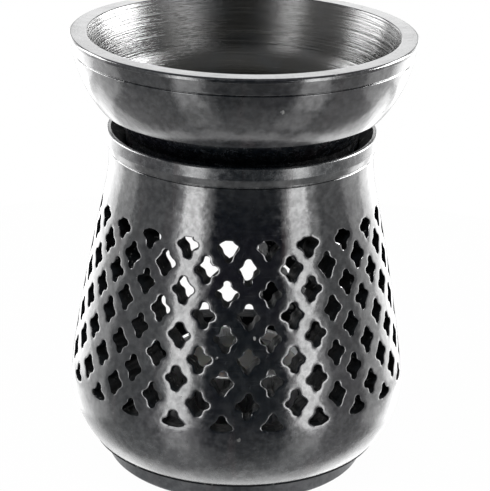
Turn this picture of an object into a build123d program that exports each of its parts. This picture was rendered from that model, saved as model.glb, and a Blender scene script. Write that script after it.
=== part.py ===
"""Essential oil burner turned and carved from black soapstone.

The pierced body stands on a glued-in foot plate and carries a lift-off bowl in its mouth.
A tealight stands on the floor of the chamber and leaves through an arched door at the back.
Millimetres, +Z up, origin on the table under the middle of the foot, door towards +Y.
"""
import os
from math import cos, pi, sin, sqrt

from build123d import *

# Foot plate
FOOT_RADIUS = 37.0
FOOT_HEIGHT = 7.0
FOOT_EDGE = 0.8
PLUG_RADIUS = 32.0
GLUE_LINE = 0.2

# Pierced body: outside, from its bottom edge up to the lip of the mouth
WALL = 6.4
FLOOR_THICKNESS = 6.0
BASE_RADIUS = 41.0
BELLY_RADIUS = 47.4
BELLY_RISE = 17.0
SIDE_SETBACK = 0.55
SIDE_RISE = 7.5
SHOULDER_FLARE = 1.1
SHOULDER_DROP = 10.0
NECK_RADIUS = 36.7
NECK_HEIGHT = 1.6
BODY_HEIGHT = 90.0

# Collar round the mouth, with two incised lines
COLLAR_HEIGHT = 5.4
COLLAR_FLARE = 0.8
COLLAR_BAND = 1.8
LINE_DEPTH = 0.35
LINE_WIDTH = 0.5
LIP_EDGE = 0.3

# Mouth: a bevel leads down to the seat of the bowl
LIP_WIDTH = 1.3
SEAT_RADIUS = 32.4
SEAT_DEPTH = 6.0
SEAT_WALL = 2.3
SEAT_CLEARANCE = 0.3

# Bowl
BOWL_GAP = 6.3
BOWL_HEIGHT = 20.7
BOWL_EDGE_RADIUS = 39.0
BOWL_SWELL = 1.0
RIM_RADIUS = 47.5
RIM_WIDTH = 4.8
RIM_EDGE = 1.2
RIM_STEP = 0.3
RIM_ROUND = 0.4
BAND_HEIGHT = 3.8
BAND_DRAFT = 0.7
SPIGOT_HEIGHT = 5.4
UNDERCUT = 2.8
BOWL_FLOOR = 12.5
BOWL_WALL = 4.8
DISH_ROUND = 9.0

# Lattice of four-lobed holes in staggered rows, the end rows cut off straight
LATTICE_ROWS = 9
HOLES_PER_ROW = 22
ROW_PITCH = 6.0
LATTICE_RISE = 20.6
HOLE_WIDTH = 6.2
HOLE_HEIGHT = 7.4
LOBE_RADIUS = 1.1
DIAMOND_SHARE = 0.95
TOP_ROW_KEEP = 1.9
BOTTOM_ROW_KEEP = 1.2
CUT_MARGIN = 2.0
DOOR_LAND = 1.2

# Tealight
CUP_RADIUS = 19.0
CUP_HEIGHT = 16.0
CUP_LIP = 0.5
CUP_LIP_HEIGHT = 0.6
CUP_DRAFT = 0.5
CUP_GAUGE = 0.4
WAX_DEPTH = 12.6
WICK_RADIUS = 0.9
WICK_SHOWING = 7.0
CLIP_RADIUS = 7.0
CLIP_GAUGE = 0.4
CLIP_NECK_RADIUS = 1.6
CLIP_NECK_HEIGHT = 4.0

# Door: a sill keeps the tealight in, and the tealight is drawn out over it on a slant
SILL_RISE = 9.5
SILL_CLEARANCE = 0.6
DOOR_SIDE_CLEARANCE = 2.0
DOOR_TOP_CLEARANCE = 1.0
ARCH_RISE = 13.0

# Heights above the table that follow from those sizes
base_z = FOOT_HEIGHT
floor_z = base_z + FLOOR_THICKNESS
belly_z = base_z + BELLY_RISE
side_z = belly_z + SIDE_RISE
lip_z = base_z + BODY_HEIGHT
collar_z = lip_z - COLLAR_HEIGHT
neck_z = collar_z - NECK_HEIGHT
shoulder_z = neck_z - SHOULDER_DROP
seat_z = lip_z - SEAT_DEPTH
bowl_edge_z = lip_z + BOWL_GAP
rim_z = bowl_edge_z + BOWL_HEIGHT
top_row_z = base_z + LATTICE_RISE + ROW_PITCH * (LATTICE_ROWS - 1)

# Radii that follow from those sizes
side_radius = BELLY_RADIUS - SIDE_SETBACK
shoulder_radius = NECK_RADIUS + SHOULDER_FLARE
lip_radius = NECK_RADIUS + COLLAR_FLARE
mouth_radius = lip_radius - LIP_WIDTH
spigot_radius = SEAT_RADIUS - SEAT_CLEARANCE
plug_bore = PLUG_RADIUS + GLUE_LINE
rim_inner = RIM_RADIUS - RIM_WIDTH

# The tealight's way out: its lower edge clears the sill, and its upper edge clears the arch
sill_z = floor_z + SILL_RISE
slide_slope = (SILL_RISE + SILL_CLEARANCE) / (BELLY_RADIUS - WALL - CUP_RADIUS)
exit_reach = BELLY_RADIUS + CUP_RADIUS
crown_z = floor_z + CUP_HEIGHT + slide_slope * exit_reach + DOOR_TOP_CLEARANCE
door_half = CUP_RADIUS + DOOR_SIDE_CLEARANCE
spring_z = crown_z - ARCH_RISE
arch_radius = (door_half**2 + ARCH_RISE**2) / (2 * ARCH_RISE)


def turned(section):
    """A solid turned about +Z from a closed outline drawn as (radius, height)."""
    return revolve(Plane.XZ * make_face(section), axis=Axis.Z)


def belly_radius_at(height, inset):
    """Radius of the rounded lower wall at a height below its widest point."""
    drop_radius = (BELLY_RADIUS - BASE_RADIUS) ** 2 + BELLY_RISE**2
    curve = drop_radius / (2 * (BELLY_RADIUS - BASE_RADIUS))
    return BELLY_RADIUS - inset - curve + sqrt(curve**2 - (belly_z - height) ** 2)


def wall_curves(inset, low_z):
    """The wall's curves from low_z up to the neck, moved in towards the axis by inset."""
    low = (belly_radius_at(low_z, inset), low_z)
    belly = (BELLY_RADIUS - inset, belly_z)
    side = (side_radius - inset, side_z)
    shoulder = (shoulder_radius - inset, shoulder_z)
    neck = (NECK_RADIUS - inset, neck_z)
    rounded = TangentArc(belly, low, tangent=(0, -1))
    swell = TangentArc(belly, side, tangent=(0, 1))
    flank = TangentArc(side, shoulder, tangent=swell % 1)
    nape = TangentArc(neck, shoulder, tangent=(0, -1))
    return [rounded, swell, flank, nape]


def wall_radius_at(height):
    """Radius of the flank, taken as straight between the belly and the shoulder."""
    share = (height - side_z) / (shoulder_z - side_z)
    return side_radius + share * (shoulder_radius - side_radius)


def body_blank():
    """The body before it is pierced: wall, collar, mouth and floor ring in one turned section."""
    outside = wall_curves(0, base_z)
    inside = wall_curves(WALL, floor_z)
    band_z = lip_z - COLLAR_BAND
    band_radius = lip_radius - LIP_EDGE / 2
    collar = Polyline(
        (NECK_RADIUS, neck_z),
        (NECK_RADIUS, collar_z - LINE_WIDTH),
        (NECK_RADIUS - LINE_DEPTH, collar_z - LINE_WIDTH / 2),
        (NECK_RADIUS, collar_z),
        (band_radius - LINE_DEPTH, band_z - LINE_WIDTH),
        (band_radius - LINE_DEPTH, band_z),
        (band_radius, band_z + LINE_WIDTH),
        (lip_radius, lip_z - LIP_EDGE),
        (lip_radius - LIP_EDGE, lip_z),
        (mouth_radius, lip_z),
        (SEAT_RADIUS, seat_z + SEAT_WALL),
        (SEAT_RADIUS, seat_z),
        (NECK_RADIUS - WALL, seat_z),
        (NECK_RADIUS - WALL, neck_z),
    )
    floor = Polyline(
        (belly_radius_at(floor_z, WALL), floor_z),
        (plug_bore, floor_z),
        (plug_bore, base_z),
        (belly_radius_at(base_z, 0), base_z),
    )
    return turned([*outside, collar, *inside, floor])


def hole_outline():
    """A diamond with a round lobe at each of its points, the upright pair farther apart."""
    across = HOLE_WIDTH / 2 - LOBE_RADIUS
    upright = HOLE_HEIGHT / 2 - LOBE_RADIUS
    side = HOLE_WIDTH / 2 * DIAMOND_SHARE
    point = HOLE_HEIGHT / 2 * DIAMOND_SHARE
    outline = make_face(Polyline((side, 0), (0, point), (-side, 0), (0, -point), close=True))
    for place in ((across, 0), (-across, 0), (0, upright), (0, -upright)):
        outline += Pos(*place) * Circle(LOBE_RADIUS)
    return outline


def row_outline(row):
    """The hole of one row, counted from the top; the first and last rows are cut off straight."""
    outline = hole_outline()
    if row == 0:
        outline &= Pos(0, TOP_ROW_KEEP - HOLE_HEIGHT) * Rectangle(2 * HOLE_WIDTH, 2 * HOLE_HEIGHT)
    if row == LATTICE_ROWS - 1:
        outline &= Pos(0, HOLE_HEIGHT - BOTTOM_ROW_KEEP) * Rectangle(2 * HOLE_WIDTH, 2 * HOLE_HEIGHT)
    return outline


def door_half_at(height):
    """Half the door's width at a height: straight sides below the spring of the arch."""
    if height <= spring_z:
        return door_half
    below_crown = arch_radius - (crown_z - height)
    return sqrt(max(arch_radius**2 - below_crown**2, 0))


def meets_door(angle, height):
    """True where a hole, angle being measured from straight ahead, would break into the door."""
    if cos(angle) > 0:
        return False
    reach = HOLE_HEIGHT / 2 + DOOR_LAND
    if height - reach > crown_z or height + reach < sill_z:
        return False
    inner = wall_radius_at(height) - WALL
    near_side = inner * abs(sin(angle)) - HOLE_WIDTH / 2 * abs(cos(angle))
    return near_side < door_half_at(max(height - reach, sill_z)) + DOOR_LAND


def lattice_cutters():
    """One radial prism for every hole, rows staggered by half a pitch."""
    pitch = 2 * pi / HOLES_PER_ROW
    cutters = []
    for row in range(LATTICE_ROWS):
        height = top_row_z - ROW_PITCH * row
        inner = wall_radius_at(height) - WALL - CUT_MARGIN
        outline = row_outline(row)
        for place in range(HOLES_PER_ROW):
            angle = pitch * (place + 0.5 * ((row + 1) % 2))
            if meets_door(angle, height):
                continue
            outward = (sin(angle), -cos(angle), 0)
            along = (cos(angle), sin(angle), 0)
            origin = (inner * outward[0], inner * outward[1], height)
            plane = Plane(origin=origin, x_dir=along, z_dir=outward)
            cutters.append(extrude(plane * outline, WALL + 2 * CUT_MARGIN))
    return cutters


def door_cutter():
    """A straight-sided opening with a round arch, cut through the back wall along +Y."""
    jambs = Polyline((-door_half, spring_z), (-door_half, sill_z), (door_half, sill_z), (door_half, spring_z))
    arch = ThreePointArc((door_half, spring_z), (0, crown_z), (-door_half, spring_z))
    facing = Plane(origin=(0, 0, 0), x_dir=(-1, 0, 0), z_dir=(0, 1, 0))
    return extrude(facing * make_face([jambs, arch]), BELLY_RADIUS + CUT_MARGIN)


def pierced_body():
    """The turned body with its lattice and door cut through the wall."""
    return body_blank() - [door_cutter(), *lattice_cutters()]


def foot_plate():
    """A turned disc whose plug closes the body from below and makes the chamber's floor."""
    return turned(
        Polyline(
            (0, 0),
            (FOOT_RADIUS - FOOT_EDGE, 0),
            (FOOT_RADIUS, FOOT_EDGE),
            (FOOT_RADIUS, base_z),
            (PLUG_RADIUS, base_z),
            (PLUG_RADIUS, floor_z),
            (0, floor_z),
            close=True,
        )
    )


def oil_bowl():
    """A dish with a stepped rim, standing on the seat in the mouth by the spigot below it."""
    band_top = rim_z - RIM_EDGE
    band_low = band_top - BAND_HEIGHT
    band_radius = RIM_RADIUS - RIM_STEP
    band_low_radius = band_radius - BAND_DRAFT
    wall_middle = (
        (BOWL_EDGE_RADIUS + band_low_radius) / 2 + BOWL_SWELL,
        (bowl_edge_z + band_low) / 2 - BOWL_SWELL / 2,
    )
    dish_z = seat_z + BOWL_FLOOR
    dish_radius = wall_middle[0] - BOWL_WALL
    rim = Polyline(
        (band_low_radius, band_low),
        (band_low_radius - LINE_DEPTH, band_low + LINE_WIDTH / 2),
        (band_low_radius, band_low + LINE_WIDTH),
        (band_radius, band_top),
        (RIM_RADIUS, band_top),
        (RIM_RADIUS, rim_z - RIM_ROUND),
        (RIM_RADIUS - RIM_ROUND, rim_z),
        (rim_inner, rim_z),
    )
    side = ThreePointArc((BOWL_EDGE_RADIUS, bowl_edge_z), wall_middle, (band_low_radius, band_low))
    dish_side = Line((rim_inner, rim_z), (dish_radius, wall_middle[1]))
    dish_round = TangentArc(
        (dish_radius - DISH_ROUND, dish_z), (dish_radius, wall_middle[1]), tangent=(1, 0)
    )
    under = Polyline(
        (dish_radius - DISH_ROUND, dish_z),
        (0, dish_z),
        (0, seat_z),
        (spigot_radius, seat_z),
        (spigot_radius, seat_z + SPIGOT_HEIGHT),
        (BOWL_EDGE_RADIUS - UNDERCUT, bowl_edge_z),
        (BOWL_EDGE_RADIUS, bowl_edge_z),
    )
    return turned([side, rim, dish_side, dish_round, under])


def tealight_cup():
    """A thin pressed cup with a flat lip, standing on the chamber floor."""
    foot = CUP_RADIUS - CUP_LIP - CUP_DRAFT
    shoulder = CUP_RADIUS - CUP_LIP
    top = floor_z + CUP_HEIGHT
    return turned(
        Polyline(
            (0, floor_z),
            (foot, floor_z),
            (shoulder, top - CUP_LIP_HEIGHT),
            (CUP_RADIUS, top - CUP_LIP_HEIGHT),
            (CUP_RADIUS, top),
            (shoulder - CUP_GAUGE, top),
            (foot - CUP_GAUGE, floor_z + CUP_GAUGE),
            (0, floor_z + CUP_GAUGE),
            close=True,
        )
    )


def wick_clip():
    """A thin disc with a short tube that holds the wick upright."""
    low = floor_z + CUP_GAUGE
    return turned(
        Polyline(
            (0, low),
            (CLIP_RADIUS, low),
            (CLIP_RADIUS, low + CLIP_GAUGE),
            (CLIP_NECK_RADIUS, low + CLIP_GAUGE),
            (CLIP_NECK_RADIUS, low + CLIP_NECK_HEIGHT),
            (WICK_RADIUS, low + CLIP_NECK_HEIGHT),
            (WICK_RADIUS, low + CLIP_GAUGE),
            (0, low + CLIP_GAUGE),
            close=True,
        )
    )


def wick():
    """A round wick from the clip's disc to above the wax."""
    low = floor_z + CUP_GAUGE + CLIP_GAUGE
    top = floor_z + CUP_GAUGE + WAX_DEPTH + WICK_SHOWING
    return Pos(0, 0, low) * Cylinder(WICK_RADIUS, top - low, align=(Align.CENTER, Align.CENTER, Align.MIN))


def tealight_wax():
    """The wax that fills the cup round the clip and the wick."""
    low = floor_z + CUP_GAUGE
    top = low + WAX_DEPTH
    rise = (CUP_HEIGHT - CUP_GAUGE) / CUP_DRAFT
    low_radius = CUP_RADIUS - CUP_LIP - CUP_DRAFT - CUP_GAUGE
    return turned(
        Polyline(
            (CLIP_RADIUS, low),
            (low_radius, low),
            (low_radius + WAX_DEPTH / rise, top),
            (WICK_RADIUS, top),
            (WICK_RADIUS, low + CLIP_NECK_HEIGHT),
            (CLIP_NECK_RADIUS, low + CLIP_NECK_HEIGHT),
            (CLIP_NECK_RADIUS, low + CLIP_GAUGE),
            (CLIP_RADIUS, low + CLIP_GAUGE),
            close=True,
        )
    )


def main():
    """Write every piece to its own STEP file."""
    pieces = {
        "pierced_body": pierced_body(),
        "foot_plate": foot_plate(),
        "oil_bowl": oil_bowl(),
        "tealight_cup": tealight_cup(),
        "tealight_wax": tealight_wax(),
        "wick_clip": wick_clip(),
        "wick": wick(),
    }
    os.makedirs("parts", exist_ok=True)
    for name, piece in pieces.items():
        export_step(piece, f"parts/{name}.step")
    print(f"tealight leaves at a slope of {slide_slope:.4f}, door from {sill_z:.1f} to {crown_z:.1f}")


main()
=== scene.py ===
"""Soapstone oil burner: its pieces and a plain studio stage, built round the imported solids.

Metres in the part's own frame: +Z up, the candle door towards +Y.
Angles round the axis start straight ahead, at -Y, and grow towards +X.
"""
from math import pi, radians
from types import SimpleNamespace

import bmesh
import bpy
import numpy as np
from mathutils import Matrix, Vector
from mathutils.geometry import delaunay_2d_cdt


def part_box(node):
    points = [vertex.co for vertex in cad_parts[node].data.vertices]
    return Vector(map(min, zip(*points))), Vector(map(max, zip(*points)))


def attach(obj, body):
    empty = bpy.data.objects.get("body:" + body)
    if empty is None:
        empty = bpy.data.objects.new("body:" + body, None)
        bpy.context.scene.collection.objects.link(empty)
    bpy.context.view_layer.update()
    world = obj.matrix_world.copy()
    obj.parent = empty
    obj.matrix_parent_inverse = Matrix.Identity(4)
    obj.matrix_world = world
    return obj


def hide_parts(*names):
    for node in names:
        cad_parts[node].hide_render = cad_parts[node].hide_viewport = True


bl_info = {
    "name": "Soapstone oil burner",
    "version": (1, 0, 0),
    "blender": (4, 5, 0),
    "location": "View3D > Sidebar > Burner",
    "description": "A pierced soapstone oil burner with its bowl, foot, tealight and stage",
    "category": "Add Mesh",
}

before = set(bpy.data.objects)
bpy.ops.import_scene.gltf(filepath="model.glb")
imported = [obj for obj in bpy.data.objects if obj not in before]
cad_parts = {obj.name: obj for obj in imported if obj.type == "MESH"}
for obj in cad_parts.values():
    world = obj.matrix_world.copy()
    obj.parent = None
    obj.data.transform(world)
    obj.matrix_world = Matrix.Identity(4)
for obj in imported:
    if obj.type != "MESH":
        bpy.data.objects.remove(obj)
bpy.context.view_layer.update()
MM = 0.001

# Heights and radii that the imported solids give
body_low, body_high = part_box("pierced_body")
bowl_low, bowl_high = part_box("oil_bowl")
foot_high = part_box("foot_plate")[1]
cup_low, cup_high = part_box("tealight_cup")
wax_low, wax_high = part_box("tealight_wax")
wick_low, wick_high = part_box("wick")

# The door zone: half pitches to each side of the back, its first row, and steps below the lowest row
ZONE_REACH = 6
ZONE_ROW = 2
ZONE_STEPS = 3

# Share of its diamond that a hole's rings may fill
CELL_SHARE = 0.97

# Heights between which the polish gets finer, on the belly and on the bowl, and where the bowl begins
BELLY_FADE = (0.016, 0.034)
BOWL_FADE = (0.1, 0.11)
BOWL_START = (0.093, 0.094)

# Places in a piece's list of finishes
POLISHED = 0
# CUT is dull cut stone whose dark finish is also painted shade in the holes, the chamber, the mouth and the
# body's bottom edge.
CUT = 1
TURNED = 1


def length(name, millimetres, description):
    """A size whose default is given in millimetres."""
    return bpy.props.FloatProperty(
        name=name, description=description, default=millimetres * MM, unit="LENGTH", precision=5
    )


def angle(name, degrees, description):
    """An angle whose default is given in degrees."""
    return bpy.props.FloatProperty(
        name=name, description=description, default=radians(degrees), subtype="ANGLE", unit="ROTATION"
    )


def colour(name, value, description):
    """A colour in linear red, green and blue."""
    return bpy.props.FloatVectorProperty(
        name=name, description=description, default=value, size=3, subtype="COLOR", min=0.0, max=1.0
    )


def number(name, value, description):
    """A plain number."""
    return bpy.props.FloatProperty(name=name, description=description, default=value)


def count(name, value, description):
    """A whole number."""
    return bpy.props.IntProperty(name=name, description=description, default=value, min=0)


class BurnerBody(bpy.types.PropertyGroup):
    """Sizes of the turned body, from its bottom edge up to the mouth."""

    base_z: length("Base height", body_low.z / MM, "Height of the body's bottom edge above the table")
    lip_z: length("Lip height", body_high.z / MM, "Height of the lip of the mouth")
    floor_z: length("Floor height", foot_high.z / MM, "Height of the floor of the chamber")
    wall: length("Wall", 6.4, "Thickness of the pierced wall")
    base_radius: length("Base radius", 41.0, "Radius at the bottom edge")
    belly_radius: length("Belly radius", body_high.x / MM, "Radius at the widest place")
    belly_rise: length("Belly rise", 17.0, "Height of the widest place above the bottom edge")
    side_setback: length("Side setback", 0.55, "How far the wall has drawn in where the flank begins")
    side_rise: length("Side rise", 7.5, "Height of the flank's beginning above the belly")
    shoulder_flare: length("Shoulder flare", 1.1, "How much wider the shoulder is than the neck")
    shoulder_drop: length("Shoulder drop", 10.0, "Height of the neck above the shoulder")
    neck_radius: length("Neck radius", 36.7, "Radius of the neck")
    neck_height: length("Neck height", 1.6, "Height of the plain neck under the collar")
    collar_height: length("Collar height", 5.4, "Height of the collar round the mouth")
    collar_flare: length("Collar flare", 0.8, "How much wider the lip is than the neck")
    collar_band: length("Collar band", 3.2, "Height of the band under the lip")
    line_depth: length("Line depth", 0.35, "Depth of the incised lines")
    line_width: length("Line width", 0.5, "Width of the incised lines")
    lip_edge: length("Lip edge", 0.3, "Bevel of the lip's outer edge")
    lip_width: length("Lip width", 1.3, "Width of the flat lip")
    seat_radius: length("Seat radius", 32.4, "Radius of the seat of the bowl")
    seat_depth: length("Seat depth", 6.0, "Depth of the seat below the lip")
    seat_wall: length("Seat wall", 2.3, "Height of the seat's upright wall")
    plug_bore: length("Plug bore", 32.2, "Radius of the opening that the foot's plug closes")
    arris: length("Arris", 0.12, "How far the turned edges are rounded")
    # The upright bottom edge is drawn in the dark cut finish, a painted shade line above the foot.
    bottom_edge: length("Bottom edge", 0.55, "Height of the upright edge at the body's bottom")


class BurnerLattice(bpy.types.PropertyGroup):
    """Sizes of the four-lobed holes and of the candle door."""

    rows: count("Rows", 9, "Rows of holes")
    holes: count("Holes", 22, "Holes in a row")
    row_pitch: length("Row pitch", 6.0, "Height from one row to the next")
    rise: length("Rise", 20.6, "Height of the lowest row above the body's bottom edge")
    width: length("Width", 6.2, "Width of a hole")
    height: length("Height", 7.4, "Height of a hole")
    lobe: length("Lobe radius", 1.1, "Radius of each lobe")
    diamond: number("Diamond", 0.95, "Share of the width and height that the diamond reaches")
    top_keep: length("Top row height", 1.9, "How far the top row's holes reach above their middle")
    bottom_keep: length("Bottom row depth", 1.2, "How far the bottom row's holes reach below their middle")
    edge_width: length("Edge width", 1.1, "Width of the dished edge round a hole")
    edge_depth: length("Edge depth", 0.085, "Depth of the dished edge round a hole")
    arris: length("Arris", 0.07, "Bevel between the dished edge and the tunnel")
    spread: length("Spread", 0.6, "How far a hole widens from its outside to its inside")
    uneven: number("Unevenness", 0.06, "Share by which the hand-cut lobes differ")
    tilt: angle("Tilt", 3.0, "How far the hand-cut holes lean")
    stray: length("Stray", 0.15, "How far the hand-cut holes are out of place")
    seed: count("Seed", 11, "Seed of the hand-cut differences")
    side_points: count("Side points", 10, "Points on each side of a hole's cell")
    door_half: length("Door half width", 21.0, "Half the width of the candle door")
    sill_z: length("Sill height", 22.5, "Height of the door's sill")
    crown_z: length("Crown height", 60.484, "Height of the top of the door's arch")
    arch_rise: length("Arch rise", 13.0, "Height of the crown above the spring of the arch")
    door_land: length("Door land", 1.2, "Stone left between the door and the nearest holes")
    zone_low: length("Zone bottom", 18.0, "Height where the pierced zone ends")


class BurnerBowl(bpy.types.PropertyGroup):
    """Sizes of the lift-off bowl."""

    seat_z: length("Seat height", bowl_low.z / MM, "Height of the bowl's underside")
    rim_z: length("Rim height", bowl_high.z / MM, "Height of the flat rim")
    edge_z: length("Edge height", 103.3, "Height of the lower outer edge")
    edge_radius: length("Edge radius", 39.0, "Radius of the lower outer edge")
    swell: length("Swell", 1.0, "How far the side swells")
    rim_radius: length("Rim radius", bowl_high.x / MM, "Radius of the rim")
    rim_width: length("Rim width", 4.8, "Width of the flat rim")
    rim_edge: length("Rim edge", 1.2, "Height of the step at the rim")
    rim_step: length("Rim step", 0.3, "Depth of the step at the rim")
    rim_round: length("Rim round", 0.4, "Rounding of the rim's outer edge")
    band_height: length("Band height", 3.8, "Height of the band under the rim")
    band_draft: length("Band draft", 0.7, "How far the band draws in downwards")
    spigot_radius: length("Spigot radius", 32.1, "Radius of the spigot")
    spigot_height: length("Spigot height", 5.4, "Height of the spigot's upright side")
    undercut: length("Undercut", 2.8, "Width of the flat under the lower edge")
    floor: length("Floor", 12.5, "Thickness of the bowl over its underside")
    wall: length("Wall", 4.8, "Thickness of the bowl's side")
    dish_round: length("Dish round", 9.0, "Reach of the rounding at the foot of the dish")
    line_depth: length("Line depth", 0.35, "Depth of the incised line under the band")
    line_width: length("Line width", 0.5, "Width of the incised line under the band")
    columns: count("Columns", 288, "Points round the axis")


class BurnerFoot(bpy.types.PropertyGroup):
    """Sizes of the glued-in foot plate."""

    radius: length("Radius", foot_high.x / MM, "Radius of the foot")
    edge: length("Edge", 0.8, "Bevel of the lower edge")
    plug_radius: length("Plug radius", 32.0, "Radius of the plug")
    columns: count("Columns", 288, "Points round the axis")


class BurnerTealight(bpy.types.PropertyGroup):
    """Sizes of the tealight."""

    lip: length("Lip", 0.5, "Width of the cup's lip")
    draft: length("Draft", 0.5, "How far the cup's side draws in")
    gauge: length("Gauge", 0.4, "Thickness of the cup's sheet")
    flutes: count("Flutes", 48, "Pressed flutes round the cup")
    flute_depth: length("Flute depth", 0.12, "Depth of the flutes")
    meniscus: length("Meniscus", 0.5, "How far the wax climbs at its edge")
    strands: count("Strands", 3, "Strands of the wick")
    lay: length("Lay", 5.0, "Height of one turn of the wick's strands")
    wick_radius: length("Wick radius", wick_high.x / MM, "Radius of the wick")
    wick_lean: length("Wick lean", 0.6, "How far the top of the wick leans")


class BurnerFinish(bpy.types.PropertyGroup):
    """Colours of the stone and the candle."""

    stone: colour("Stone", (0.0026, 0.0056, 0.0092), "Ground colour of the soapstone")
    vein: colour("Vein", (0.0165, 0.0205, 0.0245), "Paler clouds in the soapstone")
    tint: colour("Tint", (0.0100, 0.0080, 0.0150), "Purple cast in the soapstone")
    blush: colour("Blush", (0.0400, 0.0280, 0.0320), "Faint upright veins in the soapstone")
    dust: colour("Dust", (0.34, 0.34, 0.33), "Bruised stone at worn edges and chips")
    # The cut stone's colour is also painted shade: kept near black for the holes, the chamber, the mouth
    # and the bottom edge.
    cut: colour("Cut stone", (0.004, 0.004, 0.0042), "Stone inside the holes and the chamber")
    dish: colour("Dish", (0.0060, 0.0060, 0.0048), "Turned stone inside the bowl")
    dish_streak: colour("Dish streak", (0.0170, 0.0165, 0.0135), "Paler rings inside the bowl")
    aluminium: colour("Aluminium", (0.78, 0.78, 0.79), "Pressed sheet of the cup")
    wax: colour("Wax", (0.86, 0.84, 0.78), "Paraffin wax")
    cotton: colour("Cotton", (0.82, 0.79, 0.70), "Waxed cotton")
    steel: colour("Steel", (0.55, 0.55, 0.56), "Tinned steel")


class BurnerStage(bpy.types.PropertyGroup):
    """The camera, the lamps and the floor."""

    aim_z: length("Aim height", 62.8, "Height of the point that the camera is set from")
    distance: length("Distance", 536.4, "Distance of the camera")
    azimuth: angle("Azimuth", -20.3, "Direction of the camera round the axis")
    elevation: angle("Elevation", 20.8, "Height of the camera above the horizon")
    roll: angle("Roll", 1.39, "Turn of the camera about its own axis")
    lens: number("Lens", 139.37, "Focal length on a sensor 36 mm wide")
    shift_x: number("Shift X", 0.0118, "Sideways shift of the frame")
    shift_y: number("Shift Y", -0.0071, "Upward shift of the frame")
    lamp_distance: length("Lamp distance", 800.0, "Distance of the lamps from the axis")
    fill: number("Fill", 0.1, "Strength of the room's light")
    floor_radius: length("Floor radius", 220.0, "Radius of the floor")


def arc_centre(start, tangent, end):
    """Centre of the circle through start, along tangent there, and through end.

    It is start plus the normal times the chord squared over twice the chord's share of the normal.
    """
    start, tangent, end = (np.array(value, float) for value in (start, tangent, end))
    normal = np.array([tangent[1], -tangent[0]])
    chord = end - start
    return start + normal * (chord @ chord) / (2 * (chord @ normal))


def arc_points(start, centre, end, steps):
    """Points of the arc from start to end about centre, at equal angles, the shorter way round."""
    start, centre, end = (np.array(value, float) for value in (start, centre, end))
    first = np.arctan2(*(start - centre)[::-1])
    turn = (np.arctan2(*(end - centre)[::-1]) - first + pi) % (2 * pi) - pi
    around = first + turn * np.linspace(0, 1, steps + 1)
    radius = np.linalg.norm(start - centre)
    return centre + radius * np.stack([np.cos(around), np.sin(around)], axis=-1)


def rounded(corners, reach, steps=4):
    """A profile whose inner corners P become P + reach ((1-s)^2 a + s^2 b), s from 0 to 1.

    The unit vectors a and b point along the profile to the corner before and the corner after.
    The second result is the wear, sin(pi s) on the rounding and 0 elsewhere.
    """
    corners = np.array(corners, float)
    reach = np.broadcast_to(reach, len(corners) - 2)
    before = corners[:-2] - corners[1:-1]
    after = corners[2:] - corners[1:-1]
    before /= np.linalg.norm(before, axis=1)[:, None]
    after /= np.linalg.norm(after, axis=1)[:, None]
    step = np.linspace(0, 1, steps + 1)[None, :, None]
    curve = (1 - step) ** 2 * before[:, None] + step**2 * after[:, None]
    curve = corners[1:-1, None] + reach[:, None, None] * curve
    wear = np.broadcast_to(np.sin(pi * step[..., 0]), curve.shape[:2])
    points = np.concatenate([corners[:1], curve.reshape(-1, 2), corners[-1:]])
    return points, np.concatenate([[0.0], wear.ravel(), [0.0]])


def polyline_at(points, places):
    """Points of a polyline at places counted in corners, such as 2.5 for halfway from the third."""
    index = np.arange(len(points))
    return np.stack([np.interp(places, index, points[:, axis]) for axis in (0, 1)], axis=-1)


def refine(points, wear, reach):
    """The same profile with points added so that no run is longer than reach."""
    runs = np.linalg.norm(np.diff(points, axis=0), axis=1)
    parts = np.maximum(np.ceil(runs / reach).astype(int), 1)
    start = np.repeat(np.arange(len(runs)), parts)
    share = np.arange(len(start)) - np.repeat(np.cumsum(parts) - parts, parts)
    share = share / np.repeat(parts, parts)
    places = np.append(start + share, len(points) - 1)
    return polyline_at(points, places), np.interp(places, np.arange(len(points)), wear)


def around_axis(radius, around, height):
    """Points at a radius, an angle and a height: x = r sin a, y = -r cos a, z = h."""
    radius, around, height = np.broadcast_arrays(radius, around, height)
    return np.stack([radius * np.sin(around), -radius * np.cos(around), height], axis=-1)


def grid_faces(rows, columns, closed, grids=1):
    """Quads of one or more grids, each rows times columns points, joined round when closed."""
    row = np.arange(rows - 1)[:, None]
    column = np.arange(columns if closed else columns - 1)[None, :]
    beside = (column + 1) % columns
    quads = np.stack(
        np.broadcast_arrays(
            row * columns + column,
            row * columns + beside,
            (row + 1) * columns + beside,
            (row + 1) * columns + column,
        ),
        axis=-1,
    ).reshape(-1, 4)
    starts = rows * columns * np.arange(grids)
    return (quads[None] + starts[:, None, None]).reshape(-1, 4)


def turned_patch(profile, wear, columns, finish=POLISHED):
    """A profile of (radius, height) carried round the axis; finish is one number or one per run."""
    around = 2 * pi * np.arange(columns) / columns
    points = around_axis(profile[:, :1], around[None, :], profile[:, 1:])
    faces = grid_faces(len(profile), columns, True)
    finishes = np.broadcast_to(finish, len(profile) - 1)
    worn = np.broadcast_to(wear[:, None], points.shape[:2])
    return points.reshape(-1, 3), faces, np.repeat(finishes, columns), worn.ravel()


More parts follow.
